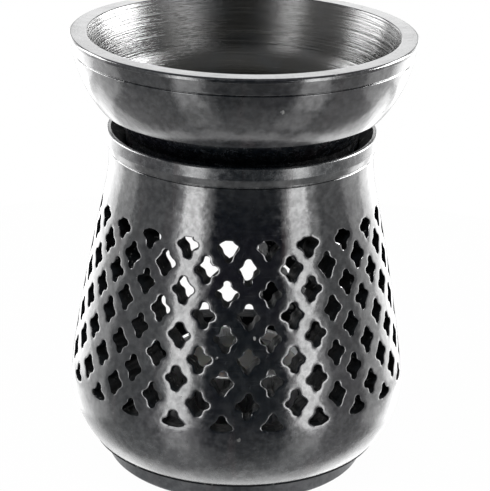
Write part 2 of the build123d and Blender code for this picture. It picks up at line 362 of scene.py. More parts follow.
def new_piece(name, patches, finishes, merge=2e-6):
    """One mesh of patches (points, faces, finish, wear), sewn where their points meet."""
    starts = np.cumsum([0] + [len(patch[0]) for patch in patches])
    points = np.concatenate([patch[0] for patch in patches])
    faces = [face for patch, start in zip(patches, starts) for face in (patch[1] + start).tolist()]
    finish = np.concatenate([np.broadcast_to(patch[2], len(patch[1])) for patch in patches])
    wear = np.concatenate([patch[3] for patch in patches])
    mesh = bpy.data.meshes.new(name)
    mesh.from_pydata(points.tolist(), [], faces)
    mesh.polygons.foreach_set("material_index", finish.astype(np.int32))
    mesh.attributes.new("wear", "FLOAT", "POINT").data.foreach_set("value", wear.astype(np.float32))
    sewn = bmesh.new()
    sewn.from_mesh(mesh)
    bmesh.ops.remove_doubles(sewn, verts=sewn.verts, dist=merge)
    bmesh.ops.delete(sewn, geom=[vert for vert in sewn.verts if not vert.link_faces], context="VERTS")
    sewn.to_mesh(mesh)
    sewn.free()
    mesh.shade_smooth()
    for material in finishes:
        mesh.materials.append(material)
    piece = bpy.data.objects.new(name, mesh)
    bpy.context.scene.collection.objects.link(piece)
    piece.modifiers.new("Even shading", "WEIGHTED_NORMAL")
    return piece


def body_levels(body, lattice):
    """Heights and radii that follow from the body's sizes."""
    collar_z = body.lip_z - body.collar_height
    neck_z = collar_z - body.neck_height
    belly_z = body.base_z + body.belly_rise
    return SimpleNamespace(
        belly_z=belly_z,
        side_z=belly_z + body.side_rise,
        side_radius=body.belly_radius - body.side_setback,
        collar_z=collar_z,
        neck_z=neck_z,
        shoulder_z=neck_z - body.shoulder_drop,
        shoulder_radius=body.neck_radius + body.shoulder_flare,
        lip_radius=body.neck_radius + body.collar_flare,
        seat_z=body.lip_z - body.seat_depth,
        low_row_z=body.base_z + lattice.rise,
        top_row_z=body.base_z + lattice.rise + lattice.row_pitch * (lattice.rows - 1),
        pitch=2 * pi / lattice.holes,
        spring_z=lattice.crown_z - lattice.arch_rise,
        arch_radius=(lattice.door_half**2 + lattice.arch_rise**2) / (2 * lattice.arch_rise),
    )


def wall_radius(body, level, height, inset=0.0):
    """The wall's radius at a height, moved in by inset.

    Four arcs follow each other upwards: base to belly and belly to side, upright at the belly,
    side to shoulder, which goes on smoothly, and shoulder to neck, upright at the neck.
    Each gives the centre plus or minus the root of its radius squared less the rise squared.
    """
    belly = np.array([body.belly_radius, level.belly_z])
    side = np.array([level.side_radius, level.side_z])
    shoulder = np.array([level.shoulder_radius, level.shoulder_z])
    neck = np.array([body.neck_radius, level.neck_z])
    swell_centre = arc_centre(belly, (0, 1), side)
    spoke = (side - swell_centre) / np.linalg.norm(side - swell_centre)
    arcs = [
        (belly, arc_centre(belly, (0, -1), (body.base_radius, body.base_z)), level.belly_z),
        (belly, swell_centre, level.side_z),
        (side, arc_centre(side, (-spoke[1], spoke[0]), shoulder), level.shoulder_z),
        (neck, arc_centre(neck, (0, -1), shoulder), np.inf),
    ]
    height = np.asarray(height, float)
    radii = []
    for start, centre, _ in arcs:
        reach = np.sum((start - centre) ** 2)
        rise = np.sqrt(np.maximum(reach - (height - centre[1]) ** 2, 0))
        radii.append(centre[0] + np.sign(start[0] - centre[0]) * rise)
    return np.select([height <= top for _, _, top in arcs], radii) - inset


def hole_reach(polar, lobes, grown):
    """How far a hole reaches in each direction: the farthest of its four round lobes and its diamond.

    A lobe of radius r at distance d gives d cos t + root((r + grown)^2 - d^2 sin^2 t), where t is
    the angle from the lobe's own direction. A side of the diamond, between points at a and b, gives
    (1 + grown m) / (|cos t| / a + |sin t| / b), where m is the root of 1/a^2 + 1/b^2. A high mean
    of them all softens the cusps.
    """
    turn = polar[..., None, :] - lobes.direction[..., None]
    distance = lobes.distance[..., None]
    inside = (lobes.radius[..., None] + grown) ** 2 - (distance * np.sin(turn)) ** 2
    round_reach = np.where(inside > 0, distance * np.cos(turn) + np.sqrt(np.maximum(inside, 0)), 0)
    first = lobes.point
    second = np.roll(lobes.point, -1, axis=-1)
    slope = np.sqrt(1 / first**2 + 1 / second**2)[..., None]
    part = np.cos(turn) / first[..., None] + np.sin(turn) / second[..., None]
    along = np.mod(turn, 2 * pi) < pi / 2
    flat_reach = np.where(along, (1 + grown * slope) / np.where(along, part, 1), 0)
    reach = np.concatenate([np.maximum(round_reach, 0), flat_reach], axis=-2)
    softness = 30
    farthest = reach.max(axis=-2, keepdims=True)
    return farthest[..., 0, :] * np.mean((reach / farthest) ** softness * 3, axis=-2) ** (1 / softness)


def hand_cut_lobes(lattice, holes, draws):
    """Directions, distances and radii of the four lobes of each hole, each a little different."""
    quarter = np.arange(4) * pi / 2
    reach = np.where(np.arange(4) % 2, lattice.height, lattice.width) / 2 - lattice.lobe
    lean = draws.normal(0, lattice.tilt / 2, (holes, 1)) + draws.normal(0, lattice.tilt, (holes, 4))
    return SimpleNamespace(
        direction=quarter + lean,
        distance=reach * (1 + draws.normal(0, lattice.uneven, (holes, 4))),
        radius=lattice.lobe * (1 + draws.normal(0, lattice.uneven, (holes, 4))),
        point=lattice.diamond * (reach + lattice.lobe) * (1 + draws.normal(0, lattice.uneven, (holes, 4))),
    )


def hole_directions(lattice):
    """Directions from a hole's middle, at equal steps along each quarter of the plain outline."""
    half = np.where(np.arange(4) % 2, lattice.height, lattice.width) / 2
    plain = SimpleNamespace(
        direction=np.arange(4) * pi / 2,
        distance=half - lattice.lobe,
        radius=np.full(4, lattice.lobe),
        point=lattice.diamond * half,
    )
    fine = np.linspace(0, pi / 2, 400)
    reach = hole_reach(fine, plain, 0.0)
    steps = np.hypot(np.diff(reach * np.cos(fine)), np.diff(reach * np.sin(fine)))
    along = np.concatenate([[0], np.cumsum(steps)])
    quarter = np.interp(np.linspace(0, along[-1], lattice.side_points + 1), along, fine)
    back = quarter[:0:-1]
    return np.concatenate([quarter[:-1], pi - back, pi + quarter[:-1], 2 * pi - back])


def cell_border(lattice, level):
    """The diamond round a hole, as steps in angle and height, from its right corner anticlockwise."""
    corners = np.array([[1, 0], [0, 1], [-1, 0], [0, -1], [1, 0]], float)
    places = np.arange(4 * lattice.side_points) / lattice.side_points
    border = polyline_at(corners, places)
    return border[:, 0] * level.pitch / 2, border[:, 1] * lattice.row_pitch


def door_half_at(lattice, level, height):
    """Half the door's width: upright jambs, and above the spring a circle's chord."""
    above = level.arch_radius - (lattice.crown_z - height)
    chord = np.sqrt(np.maximum(level.arch_radius**2 - above**2, 0))
    return np.where(height <= level.spring_z, lattice.door_half, chord)


def hole_places(body, lattice, level):
    """Angle, height, row and door zone of every hole that is cut; rows are staggered by half a pitch.

    A hole is left out where its near side, seen from behind, would come into the door's outline.
    The door zone is the part of the wall within three pitches of the back, below the second row.
    """
    row, place = np.divmod(np.arange(lattice.rows * lattice.holes), lattice.holes)
    around = level.pitch * (place + 0.5 * ((row + 1) % 2))
    height = level.top_row_z - lattice.row_pitch * row
    reach = lattice.height / 2 + lattice.door_land
    share = (height - level.side_z) / (level.shoulder_z - level.side_z)
    inner = level.side_radius + share * (level.shoulder_radius - level.side_radius) - body.wall
    near_side = inner * np.abs(np.sin(around)) - lattice.width / 2 * np.abs(np.cos(around))
    foot = np.maximum(height - reach, lattice.sill_z)
    in_door = near_side < door_half_at(lattice, level, foot) + lattice.door_land
    in_door &= (height - reach <= lattice.crown_z) & (height + reach >= lattice.sill_z)
    in_door &= np.cos(around) <= 0
    from_back = np.abs(around / level.pitch - lattice.holes / 2)
    in_zone = (row >= ZONE_ROW) & (from_back < ZONE_REACH / 2 + 0.1)
    keep = ~in_door
    return around[keep], height[keep], row[keep], in_zone[keep]


def edge_rings(body, lattice):
    """Offset, spread, depth and wear of an opening's rings: a parabola's fall, a bevel and the tunnel."""
    fall = np.array([0.0, 0.5, 0.92])
    low = lattice.edge_depth
    inner = 0.2 * MM
    grown = np.concatenate([lattice.edge_width * (1 - fall), [lattice.arris, 0.0, 0.0, inner]])
    depth = np.concatenate([low * fall**2, [low, low + lattice.arris, body.wall - inner, body.wall]])
    spread = lattice.spread * np.array([0.0, 0.0, 0.0, 0.0, 0.0, 1.0, 1.0])
    return grown, spread, depth, [0.0, 0.0, 0.05, 0.45, 0.45, 0.0, 0.3]


def hole_rings(body, lattice, level, around, height, row, in_zone):
    """Rings of every hole, from the diamond on the outside through the wall to the diamond inside.

    A ring is the lobes' outline, grown by an offset, at a depth below the wall's surface. A point u
    across and v up from the middle lies at the angle a + arcsin(u / r) and the height z + v, held inside
    the diamond by |angle| / A + |v| / B at most its share. Holes beside the door do not widen.
    """
    draws = np.random.default_rng(lattice.seed)
    holes = len(around)
    lobes = hand_cut_lobes(lattice, holes, draws)
    stray = draws.normal(0, lattice.stray, (2, holes, 1))
    polar = np.broadcast_to(hole_directions(lattice), (holes, 4 * lattice.side_points))
    step_around, step_up = cell_border(lattice, level)
    offset, spread, depth, worn = edge_rings(body, lattice)
    grown = offset[:, None, None] + spread[:, None, None] * ~in_zone[:, None]
    rings, wear = [], []
    for ring in range(len(grown)):
        reach = hole_reach(polar, lobes, grown[ring][..., None])
        sideways = reach * np.cos(polar) + stray[0]
        upward = reach * np.sin(polar) + stray[1]
        soft = 0.5 * MM
        over = upward - lattice.top_keep - grown[ring]
        under = -upward - lattice.bottom_keep - grown[ring]
        upward = np.where(row[:, None] == 0, upward - soft * np.logaddexp(0, over / soft), upward)
        last = row[:, None] == lattice.rows - 1
        upward = np.where(last, upward + soft * np.logaddexp(0, under / soft), upward)
        turn = np.arcsin(sideways / wall_radius(body, level, height[:, None] + upward, depth[ring]))
        spill = np.abs(turn) / (level.pitch / 2) + np.abs(upward) / lattice.row_pitch
        held = np.minimum(1, CELL_SHARE / spill)
        level_z = height[:, None] + held * upward
        radius = wall_radius(body, level, level_z, depth[ring])
        rings.append((radius, around[:, None] + held * turn, level_z))
        wear.append(np.full(polar.shape, worn[ring]))
    border_around = step_around + around[:, None]
    border_z = step_up + height[:, None]
    middle_around = (border_around + rings[0][1]) / 2
    middle_z = (border_z + rings[0][2]) / 2
    outer = [
        (wall_radius(body, level, border_z), border_around, border_z),
        (wall_radius(body, level, middle_z), middle_around, middle_z),
    ]
    inner = [(wall_radius(body, level, border_z, body.wall), border_around, border_z)]
    plain = np.zeros(polar.shape)
    return outer + rings + inner, [plain, plain] + wear + [plain]


def ring_patch(rings, wear, chosen, finish):
    """The chosen holes' rings as grids of quads."""
    points = np.stack([around_axis(*(value[chosen] for value in ring)) for ring in rings], axis=1)
    holes, rows, columns = points.shape[:3]
    faces = grid_faces(rows, columns, True, holes)
    finishes = np.tile(np.repeat(finish, columns), holes)
    worn = np.stack([value[chosen] for value in wear], axis=1)
    return points.reshape(-1, 3), faces, finishes, worn.ravel()


def door_outline(lattice, level, grown):
    """The door's outline as (x, z), grown all round, anticlockwise from behind, from the sill."""
    half = lattice.door_half + grown
    sill = lattice.sill_z - grown
    radius = level.arch_radius + grown
    centre_z = lattice.crown_z - level.arch_radius
    spring = centre_z + np.sqrt(radius**2 - half**2)
    swing = np.arcsin(half / radius)
    sill_steps, jamb_steps, arch_steps = 30, 17, 36
    along = np.linspace(-half, half, sill_steps + 1)[:-1]
    rise = np.linspace(sill, spring, jamb_steps + 1)[:-1]
    turn = np.linspace(-swing, swing, arch_steps + 1)[:-1]
    jamb = np.full(jamb_steps, half)
    arch_z = centre_z + radius * np.cos(turn)
    fall = rise[::-1] + rise[1] - rise[0]
    sideways = np.concatenate([-along, -jamb, radius * np.sin(turn), jamb])
    return sideways, np.concatenate([np.full(sill_steps, sill), rise, arch_z, fall])


def door_rings(body, lattice, level):
    """Rings of the door, from its dished edge straight through the wall to its edge inside."""
    grown, _, depth, worn = edge_rings(body, lattice)
    rings = []
    for offset, inset in zip(grown, depth):
        sideways, height = door_outline(lattice, level, offset)
        radius = wall_radius(body, level, height, inset)
        rings.append((radius[None], pi - np.arcsin(sideways / radius)[None], height[None]))
    return rings, [np.full((1, len(ring[2][0])), value) for ring, value in zip(rings, worn)]


def divided(corners, parts):
    """A polyline's points, each run divided into its own number of parts, without the last corner."""
    places = np.concatenate([index + np.arange(part) / part for index, part in enumerate(parts)])
    return polyline_at(corners, places)


def zone_border(lattice, level):
    """The border of the door zone as (angle, height): zigzags of the diamonds and a level line."""
    half = level.pitch / 2
    row_z = level.top_row_z - lattice.row_pitch * np.arange(lattice.rows)
    reach = ZONE_REACH
    steps = range(2 * reach + 1)
    top = [((step - reach) * half, row_z[ZONE_ROW] + lattice.row_pitch * (step % 2)) for step in steps]
    side = [((reach + row % 2) * half, row_z[row]) for row in range(ZONE_ROW + 1, lattice.rows)]
    low = [(reach * half, lattice.zone_low), (-reach * half, lattice.zone_low)]
    back = [(-turn, z) for turn, z in side[::-1]]
    corners = np.array(top + side + low + back + top[:1])
    points = lattice.side_points
    parts = [points] * (2 * reach + len(side)) + [ZONE_STEPS, 2 * reach * points, ZONE_STEPS]
    parts += [points] * len(side)
    corners[:, 0] += pi
    return divided(corners, parts)


def inside_loop(points, loop):
    """Whether each point lies in a closed loop: a ray to the right crosses it an odd number of times."""
    x, y = points[:, :1], points[:, 1:]
    end = np.roll(loop, -1, axis=0)
    straddles = (loop[:, 1] > y) != (end[:, 1] > y)
    slope = (end[:, 0] - loop[:, 0]) / np.where(end[:, 1] == loop[:, 1], 1, end[:, 1] - loop[:, 1])
    crosses = straddles & (x < loop[:, 0] + (y - loop[:, 1]) * slope)
    return np.count_nonzero(crosses, axis=1) % 2 == 1


def zone_sheet(border, openings, radius_at, outward):
    """The wall's surface between a border and the openings in it, in triangles.

    The surface is laid flat, one radian being as wide as the unit below, filled with a grid of
    staggered points, triangulated between the loops, and lifted back to the wall's radius.
    """
    unit = 0.042
    spacing, clearance = 2.0, 0.9
    scale = np.array([unit, 1.0]) / MM
    loops = [np.array(loop) * scale for loop in [border] + openings]
    starts = np.cumsum([0] + [len(loop) for loop in loops])
    fixed = np.concatenate(loops)
    edges = [
        (int(start + step), int(start + (step + 1) % len(loop)))
        for loop, start in zip(loops, starts)
        for step in range(len(loop))
    ]
    low, high = loops[0].min(axis=0), loops[0].max(axis=0)
    column, line = np.meshgrid(np.arange(low[0], high[0], spacing), np.arange(low[1], high[1], spacing))
    column = column + spacing / 2 * (np.arange(len(line))[:, None] % 2)
    filling = np.stack([column.ravel(), line.ravel()], axis=-1)
    clear = np.min(np.linalg.norm(filling[:, None] - fixed[None], axis=-1), axis=1) > clearance
    filling = filling[clear & inside_loop(filling, loops[0])]
    points = [Vector(point) for point in np.concatenate([fixed, filling])]
    found = delaunay_2d_cdt(points, edges, [], 1, 1e-5)
    flat = np.array([tuple(point) for point in found[0]])
    faces = np.array(found[2])
    middle = flat[faces].mean(axis=1)
    keep = inside_loop(middle, loops[0])
    for loop in loops[1:]:
        keep &= ~inside_loop(middle, loop)
    faces = faces[keep]
    first, second, third = (flat[faces[:, corner]] for corner in range(3))
    area = np.cross(second - first, third - first)
    solid = np.abs(area) > 1e-9
    faces, area = faces[solid], area[solid]
    faces = np.where((area > 0)[:, None] == outward, faces, faces[:, ::-1])
    turn, height = (flat / scale).T
    return around_axis(radius_at(height), turn, height), faces


def collar_profile(body, level):
    """The outside from the neck over the collar and the lip, and down the mouth to the inner wall."""
    band_z = body.lip_z - body.collar_band
    lean = body.lip_edge / 2
    groove = body.line_width / 2
    corners = [
        (body.neck_radius, level.neck_z),
        (body.neck_radius, level.collar_z - body.line_width),
        (body.neck_radius - body.line_depth, level.collar_z - groove),
        (body.neck_radius + lean, level.collar_z),
        (body.neck_radius + lean, level.collar_z + groove),
        (level.lip_radius, band_z),
        (level.lip_radius - lean, body.lip_z - body.lip_edge),
        (level.lip_radius - lean - body.lip_edge, body.lip_z),
        (level.lip_radius - body.lip_width, body.lip_z),
        (body.seat_radius, level.seat_z + body.seat_wall),
        (body.seat_radius, level.seat_z),
        (body.neck_radius - body.wall, level.seat_z),
        (body.neck_radius - body.wall, level.neck_z),
    ]
    return refine(*rounded(corners, body.arris, 2), 1.6 * MM)


def body_bands(body, lattice, level):
    """The body's turned parts above and below the lattice, whose first and last rings are zigzags.

    A zigzag rises from a corner of two diamonds to the top of one and falls again, in even steps.
    """
    columns = 2 * lattice.side_points * lattice.holes
    around = 2 * pi * np.arange(columns) / columns
    phase = (np.arange(columns) % (2 * lattice.side_points)) / (2 * lattice.side_points)
    zigzag = lattice.row_pitch * (1 - np.abs(2 * phase - 1))
    top_z = level.top_row_z + zigzag
    low_z = level.low_row_z - zigzag
    nape = np.linspace(level.top_row_z + lattice.row_pitch + 0.8 * MM, level.neck_z, 7)[:-1]
    collar, worn = collar_profile(body, level)
    rise = np.concatenate([nape, collar[:, 1], nape[::-1]])
    radius = np.concatenate(
        [wall_radius(body, level, nape), collar[:, 0], wall_radius(body, level, nape[::-1], body.wall)]
    )
    rows = len(rise) + 2
    shape = (len(rise), columns)
    heights = np.concatenate([top_z[None], np.broadcast_to(rise[:, None], shape), top_z[None]])
    radii = np.concatenate(
        [
            wall_radius(body, level, top_z)[None],
            np.broadcast_to(radius[:, None], shape),
            wall_radius(body, level, top_z, body.wall)[None],
        ]
    )
    wear = np.concatenate([np.zeros(1 + len(nape)), worn, np.zeros(1 + len(nape))])
    lip = np.flatnonzero(collar[:, 1] > body.lip_z - 0.01 * MM)[-1]
    # Below the lip the mouth takes the dark cut finish, whose darkness is also painted shade for the shaded
    # gap under the bowl.
    mouth = np.arange(rows - 1) > 1 + len(nape) + lip
    top = (
        around_axis(radii, around[None], heights).reshape(-1, 3),
        grid_faces(rows, columns, True),
        np.repeat(np.where(mouth, CUT, POLISHED), columns),
        np.repeat(wear, columns),
    )
    inner_z = np.linspace(lattice.zone_low, body.floor_z, 4)
    outer_z = np.linspace(body.base_z, lattice.zone_low, 9)
    edge_z = body.base_z + body.bottom_edge
    edge_radius = wall_radius(body, level, edge_z) - body.arris
    floor = [
        (wall_radius(body, level, inner_z[-2], body.wall), inner_z[-2]),
        (wall_radius(body, level, body.floor_z, body.wall), body.floor_z),
        (body.plug_bore, body.floor_z),
        (body.plug_bore, body.base_z),
        (edge_radius, body.base_z),
        (edge_radius, edge_z),
        (wall_radius(body, level, outer_z[1]), outer_z[1]),
    ]
    steps = 2
    floor, worn = rounded(floor, np.array([0.4, 0.3, 0.1, 0.12, 0.12]) * MM, steps)
    inner = np.stack([wall_radius(body, level, inner_z[:-2], body.wall), inner_z[:-2]], axis=-1)
    outer = np.stack([wall_radius(body, level, outer_z[2:]), outer_z[2:]], axis=-1)
    profile = np.concatenate([inner, floor, outer])
    worn = np.concatenate([np.zeros(len(inner)), worn, np.zeros(len(outer))])
    # The chamber, the plug bore, the underside and the upright bottom edge take the dark cut finish; on the
    # bottom edge it is a painted shade line for the shaded gap above the foot.
    finish = np.where(np.arange(len(profile) - 1) < len(inner) + len(floor) - steps - 1, CUT, POLISHED)
    base = turned_patch(profile, worn, columns, finish)
    zone_edge = lattice.side_points * (lattice.holes - ZONE_REACH)
    open_columns = np.arange(-zone_edge, zone_edge + 1)
    strip_around = 2 * pi * open_columns / columns
    share = np.linspace(0, 1, ZONE_STEPS + 1)[:, None]
    strip_z = lattice.zone_low + share * (low_z[open_columns % columns] - lattice.zone_low)
    outside = around_axis(wall_radius(body, level, strip_z), strip_around[None], strip_z)
    inside = around_axis(wall_radius(body, level, strip_z, body.wall), strip_around[None], strip_z)
    quads = grid_faces(len(share), len(open_columns), False)
    plain = np.zeros(strip_z.size)
    strips = [
        (outside.reshape(-1, 3), quads, POLISHED, plain),
        (inside.reshape(-1, 3), quads[:, ::-1], CUT, plain),
    ]
    return [top, base] + strips


def body_patches(body, lattice):
    """All patches of the pierced body."""
    level = body_levels(body, lattice)
    around, height, row, in_zone = hole_places(body, lattice, level)
    rings, wear = hole_rings(body, lattice, level, around, height, row, in_zone)
    # The tunnels and the inner faces take the dark cut finish, which is also painted shade.
    finish = [POLISHED] * 4 + [CUT] * 5
    patches = body_bands(body, lattice, level)
    patches.append(ring_patch(rings, wear, ~in_zone, finish))
    patches.append(ring_patch(rings[2:-1], wear[2:-1], in_zone, finish[2:-1]))
    doors, door_wear = door_rings(body, lattice, level)
    patches.append(ring_patch(doors, door_wear, np.array([True]), finish[2:-1]))
    border = zone_border(lattice, level)
    for ring, inset, outward in ((0, 0.0, True), (-1, body.wall, False)):
        holes = np.stack([rings[2:-1][ring][1][in_zone], rings[2:-1][ring][2][in_zone]], axis=-1)
        door = np.stack([doors[ring][1][0], doors[ring][2][0]], axis=-1)
        points, faces = zone_sheet(
            border, list(holes) + [door], lambda z: wall_radius(body, level, z, inset), outward
        )
        patches.append((points, faces, POLISHED if outward else CUT, np.zeros(len(points))))
    return patches


def bowl_profile(bowl):
    """The bowl's outline from the middle of its underside, up its side, over the rim and into the dish.

    The side is an arc through its swollen middle; the dish falls straight from the rim, then on an
    arc that ends level.
    """
    band_top = bowl.rim_z - bowl.rim_edge
    band_low = band_top - bowl.band_height
    band_radius = bowl.rim_radius - bowl.rim_step
    band_low_radius = band_radius - bowl.band_draft
    middle = (
        (bowl.edge_radius + band_low_radius) / 2 + bowl.swell,
        (bowl.edge_z + band_low) / 2 - bowl.swell / 2,
    )
    start, end = np.array([bowl.edge_radius, bowl.edge_z]), np.array([band_low_radius, band_low])
    chords = np.array([np.array(middle) - start, end - start])
    centre = start + np.linalg.solve(chords, np.sum(chords**2, axis=1) / 2)
    side = arc_points(start, centre, end, 26)
    under = [
        (0, bowl.seat_z),
        (bowl.spigot_radius, bowl.seat_z),
        (bowl.spigot_radius, bowl.seat_z + bowl.spigot_height),
        (bowl.edge_radius - bowl.undercut, bowl.edge_z),
        (bowl.edge_radius, bowl.edge_z),
        tuple(side[1]),
    ]
    under, under_wear = rounded(under, [0.3 * MM, 0.15 * MM, 0.15 * MM, 0.18 * MM])
    rim_inner = bowl.rim_radius - bowl.rim_width
    dish_z = bowl.seat_z + bowl.floor
    dish_radius = middle[0] - bowl.wall
    fall = np.array([(rim_inner, bowl.rim_z), (dish_radius, middle[1])])
    rim = [
        tuple(side[-2]),
        (band_low_radius, band_low),
        (band_low_radius - bowl.line_depth, band_low + bowl.line_width / 2),
        (band_low_radius, band_low + bowl.line_width),
        (band_radius, band_top),
        (bowl.rim_radius, band_top),
        (bowl.rim_radius, bowl.rim_z - bowl.rim_round),
        (bowl.rim_radius - bowl.rim_round, bowl.rim_z),
        (rim_inner, bowl.rim_z),
        tuple(fall[0] + (fall[1] - fall[0]) * 0.15),
    ]
    rim, rim_wear = rounded(rim, np.array([0.1, 0.12, 0.1, 0.1, 0.1, 0.15, 0.2, 0.35]) * MM)
    round_start = (dish_radius - bowl.dish_round, dish_z)
    centre = arc_centre(round_start, (1, 0), fall[1])
    bend = arc_points(fall[1], centre, round_start, 30)
    dish = np.concatenate([fall[:1] + (fall[1:] - fall[:1]) * np.linspace(0.2, 1, 30)[:, None], bend[1:]])
    flat = np.linspace(round_start[0], 0, 50)[1:]
    dish = np.concatenate([dish, np.stack([flat, np.full(len(flat), dish_z)], axis=-1)])
    outline = np.concatenate([under[:-1], side[2:-2], rim[1:-1]])
    finish = np.concatenate([np.full(len(outline) - 2, POLISHED), np.full(len(dish) + 2, TURNED)])[:-1]
    outline = np.concatenate([outline, dish])
    wear = np.concatenate([under_wear[:-1], np.zeros(len(side) - 4), rim_wear[1:-1], np.zeros(len(dish))])
    return outline, wear, finish


def foot_profile(body, foot):
    """The foot plate's outline from the middle of its underside, round the step, to the top of the plug."""
    corners = [
        (0, 0),
        (foot.radius - foot.edge, 0),
        (foot.radius, foot.edge),
        (foot.radius, body.base_z),
        (foot.plug_radius, body.base_z),
        (foot.plug_radius, body.floor_z),
        (0, body.floor_z),
    ]
    return refine(*rounded(corners, np.array([0.3, 0.35, 0.3, 0.1, 0.2]) * MM), 3 * MM)


def cup_patch(tealight):
    """The pressed cup: a rolled lip, and a side waved in and out by flutes that fade at both ends."""
    top = cup_high.z
    low = cup_low.z
    lip = cup_high.x
    shoulder = lip - tealight.lip
    foot = shoulder - tealight.draft
    roll_z = top - 0.6 * MM
    corners = [
        (0, low),
        (foot, low),
        (shoulder, roll_z),
        (lip, roll_z),
        (lip, top),
        (shoulder - tealight.gauge, top),
        (foot - tealight.gauge, low + tealight.gauge),
        (0, low + tealight.gauge),
    ]
    profile, wear = refine(*rounded(corners, np.array([1.0, 0.2, 0.25, 0.25, 0.3, 0.8]) * MM), 1.2 * MM)
    columns = 288
    around = 2 * pi * np.arange(columns) / columns
    rise = (profile[:, 1] - low) / (top - low)
    swing = np.clip(rise / 0.1, 0, 1) * np.clip((0.93 - rise) / 0.1, 0, 1)
    wave = tealight.flute_depth * (np.cos(tealight.flutes * around)[None] - 1) / 2 * swing[:, None]
    radius = np.maximum(profile[:, :1] + wave * (profile[:, :1] > shoulder * 0.9), 0)
    points = around_axis(radius, around[None], profile[:, 1:]).reshape(-1, 3)
    return points, grid_faces(len(profile), columns, True), POLISHED, np.repeat(wear, columns)


def wax_patch(tealight):
    """The wax: level, climbing at the cup's wall and at the wick as exp(-distance / reach)."""
    low, top = wax_low.z, wax_high.z
    edge = wax_high.x - 0.02 * MM
    bore = 1.0 * MM
    radius = np.concatenate([np.linspace(edge, 1.2 * MM, 40), [bore]])
    climb = tealight.meniscus * np.exp(-(edge - radius) / (0.6 * MM))
    wick_climb = 0.6 * tealight.meniscus * np.exp(-(radius - bore) / (0.7 * MM))
    level = top - tealight.meniscus + climb + wick_climb
    surface = np.stack([radius, level], axis=-1)
    inner, outer = 0.95 * MM, edge - 0.35 * MM
    under_z = low + 0.45 * MM
    under = np.array([(inner, low + 4.0 * MM), (inner, under_z), (outer, under_z)])
    profile = np.concatenate([under, surface, under[:1]])
    return turned_patch(profile, np.zeros(len(profile)), 144)


def wick_patch(tealight):
    """The wick: a round section with three strands that wind upwards, leaning a little towards its top."""
    columns, rows = 36, 90
    low, top = wick_low.z, wick_high.z
    height = np.linspace(low, top, rows)[:, None]
    around = 2 * pi * np.arange(columns)[None] / columns
    share = (height - low) / (top - low)
    twist = 2 * pi * height / tealight.lay
    strand = 0.5 + 0.5 * np.cos(tealight.strands * around - twist)
    cap = np.sqrt(np.clip((1 - share) / 0.03, 0, 1)) * np.sqrt(np.clip(share / 0.02, 0, 1))
    radius = tealight.wick_radius * (0.76 + 0.2 * strand) * cap
    lean = tealight.wick_lean * np.clip((share - 0.6) / 0.4, 0, 1) ** 2
    points = around_axis(radius, around, np.broadcast_to(height, radius.shape))
    points[..., 0] += lean
    wear = np.broadcast_to(np.clip((share - 0.85) / 0.15, 0, 1), radius.shape)
    return points.reshape(-1, 3), grid_faces(rows, columns, True), POLISHED, wear.ravel()


def new_finish(name):
    """An empty node material, its tree and the object coordinates of its surface."""
    material = bpy.data.materials.new(name)
    material.use_nodes = True
    tree = material.node_tree
    tree.nodes.clear()
    place = tree.nodes.new("ShaderNodeTexCoord").outputs["Object"]
    return material, tree, place


def put(tree, kind, sockets, **settings):
    """Adds a node; each socket, by name or number, gets a value or another node's output."""
    node = tree.nodes.new(kind)
    for name, value in settings.items():
        setattr(node, name, value)
    for socket, value in sockets.items():
        if isinstance(value, bpy.types.NodeSocket):
            tree.links.new(value, node.inputs[socket])
        else:
            node.inputs[socket].default_value = value
    return node


def noise(tree, place, scale, detail=4.0, roughness=0.55):
    """Cloudy noise, around one half."""
    sockets = {"Vector": place, "Scale": scale, "Detail": detail, "Roughness": roughness}
    return put(tree, "ShaderNodeTexNoise", sockets).outputs["Fac"]


def stretched(tree, place, scale, turn=(0.0, 0.0, 0.0)):
    """Coordinates turned and scaled apart along each axis."""
    sockets = {"Vector": place, "Rotation": turn, "Scale": scale}
    return put(tree, "ShaderNodeMapping", sockets).outputs["Vector"]


def remap(tree, value, low, high, to_low=0.0, to_high=1.0):
    """A value carried from one range to another and held at its ends."""
    sockets = {"Value": value, "From Min": low, "From Max": high, "To Min": to_low, "To Max": to_high}
    return put(tree, "ShaderNodeMapRange", sockets).outputs["Result"]


def combine(tree, operation, first, second):
    """Arithmetic of two values."""
    return put(tree, "ShaderNodeMath", {0: first, 1: second}, operation=operation).outputs["Value"]


def blend_colour(tree, share, first, second):
    """A mix of two colours."""
    sockets = {0: share}
    for socket, value in ((6, first), (7, second)):
        sockets[socket] = value if isinstance(value, bpy.types.NodeSocket) else (*value, 1.0)
    return put(tree, "ShaderNodeMix", sockets, data_type="RGBA").outputs[2]


def bump(tree, height, distance, normal=None):
    """A relief of a height in metres, on top of another."""
    sockets = {"Height": height, "Distance": distance, "Strength": 1.0}
    if normal is not None:
        sockets["Normal"] = normal
    return put(tree, "ShaderNodeBump", sockets).outputs["Normal"]


def surface(tree, sockets):
    """A principled surface on the material's output."""
    shader = put(tree, "ShaderNodeBsdfPrincipled", sockets)
    put(tree, "ShaderNodeOutputMaterial", {"Surface": shader.outputs["BSDF"]})


def specks(tree, place, scale, size, rarity):
    """Small separate flecks: near the middle of a few random cells."""
    cell = put(tree, "ShaderNodeTexVoronoi", {"Vector": place, "Scale": scale, "Randomness": 1.0})
    near = remap(tree, cell.outputs["Distance"], size, size * 0.6)
    chosen = put(tree, "ShaderNodeSeparateColor", {0: cell.outputs["Color"]}).outputs[0]
    return combine(tree, "MULTIPLY", near, remap(tree, chosen, rarity, rarity + 0.01))


